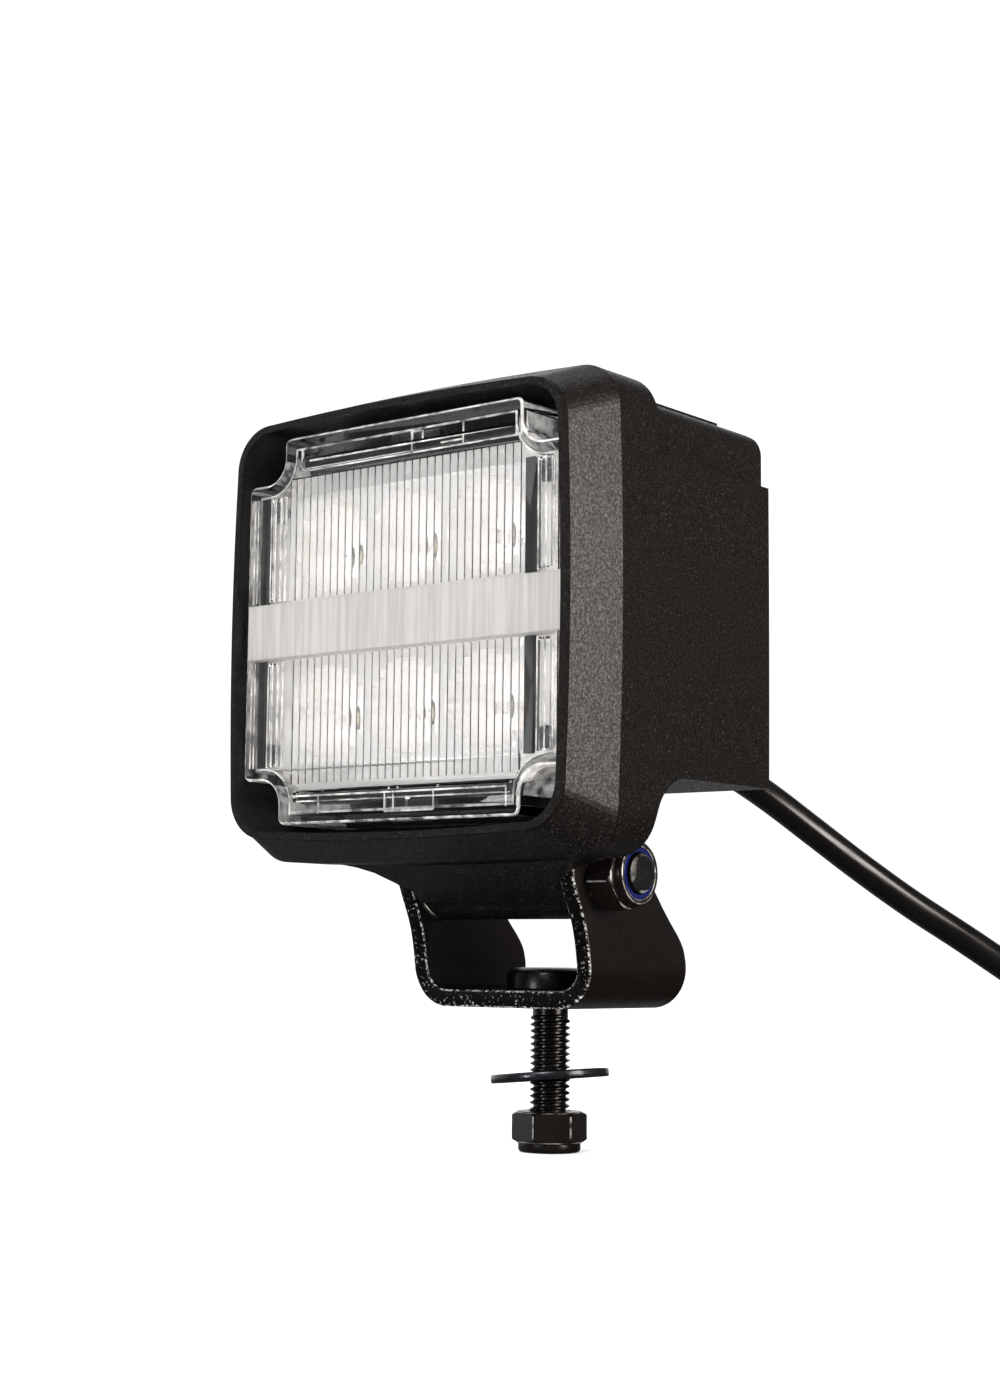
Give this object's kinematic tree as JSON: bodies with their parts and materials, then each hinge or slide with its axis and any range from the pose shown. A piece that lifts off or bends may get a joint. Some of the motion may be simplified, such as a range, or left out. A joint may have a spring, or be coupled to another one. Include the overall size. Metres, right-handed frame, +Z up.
{
  "type": "fog light",
  "caption": "Square LED fog and work light with a clear ribbed lens, on a tilting steel U bracket with a threaded stud, washer, lock nut and a coiled sheathed cable",
  "frame": {"origin": "axis of the mounting stud where it leaves the underside of the bracket", "axes": "+Z up along the stud towards the lamp, lens facing -Y, +X to the right of someone facing the lens, where the pivot's lock nut is"},
  "size_m": [0.1866, 0.1687, 0.1464],
  "materials": {
    "cast_black": "black powder coat, fine textured, matte",
    "lens_clear": "clear polished",
    "rubber_black": "matte",
    "black_steel": "satin black, glossy on cut edges",
    "black_zinc": "glossy black zinc",
    "screw_steel": "satin",
    "trim_black": "moulded",
    "reflector_silver": "vacuum metallised",
    "frosted_white": "frosted",
    "board_white": "solder mask",
    "phosphor": "silicone",
    "thermal_grey": "soft",
    "board_green": "solder mask",
    "ferrite": "sintered",
    "capacitor_blue": "sleeve",
    "wire_red": "smooth",
    "nylon_white": "moulded",
    "nylon_blue": "moulded",
    "cable_sheath": "satin",
    "lock_orange": "moulded",
    "contact_tin": "tinned",
    "seal_red": "matte"
  },
  "bodies": {
    "bracket": {"bracket": "black_steel", "pivot_bolt": "black_steel", "pivot_nut": "black_steel", "pivot_nut_ring": "nylon_blue", "mount_bolt": "black_steel", "cord_run": "cable_sheath", "cord_coil": "cable_sheath", "coil_tie": "trim_black", "cord_tail": "cable_sheath", "plug_boot": "rubber_black", "plug_body": "trim_black", "plug_lock": "lock_orange", "plug_pins": "contact_tin", "plug_seal": "seal_red"},
    "lamp_head": {"housing": "cast_black", "lens": "lens_clear", "lens_ribs": "lens_clear", "lens_gasket": "rubber_black", "lens_screws": "screw_steel", "divider_bars": "trim_black", "reflector": "reflector_silver", "reflector_clips": "lens_clear", "light_band": "frosted_white", "band_board": "board_white", "band_leds": "phosphor", "led_board": "board_white", "led_bodies": "board_white", "led_domes": "phosphor", "thermal_pad": "thermal_grey", "board_screws": "screw_steel", "driver_board": "board_green", "driver_coil": "ferrite", "driver_capacitors": "capacitor_blue", "driver_chips": "ferrite", "driver_screws": "screw_steel", "wire_clamp": "board_green", "inner_wires": "wire_red", "rear_cover": "cast_black", "cover_gasket": "rubber_black", "cover_screws": "screw_steel", "vent_plug": "trim_black", "gland_body": "trim_black", "gland_cap": "trim_black", "strain_relief": "rubber_black", "pivot_bushes": "nylon_white", "cord_lead": "cable_sheath"},
    "washer_body": {"stud_washer": "black_zinc"},
    "nut_insert": {"stud_nut_ring": "nylon_blue"},
    "nut_body": {"stud_nut": "black_steel"}
  },
  "joints": [
    {"name": "head_tilt", "type": "hinge", "parent": "bracket", "child": "lamp_head", "pos_m": [0, -0.0115, 0.0258], "axis": [1, 0, 0], "range_deg": [-30, 40]},
    {"name": "washer_slide", "type": "slide", "parent": "bracket", "child": "washer_body", "axis": [0, 0, 1], "range_m": [-0.002, 0.0113]},
    {"name": "nut_travel", "type": "slide", "parent": "bracket", "child": "nut_insert", "axis": [0, 0, 1], "range_m": [-0.00252, 0.00252]},
    {"name": "nut_turn", "type": "hinge", "parent": "nut_insert", "child": "nut_body", "pos_m": [0, 0, -0.0244], "axis": [0, 0, 1], "range_deg": [-720, 720]}
  ],
  "couplings": [
    {"joint": "nut_travel", "follows": "nut_turn", "m_per_rad": 0.00019894}
  ]
}
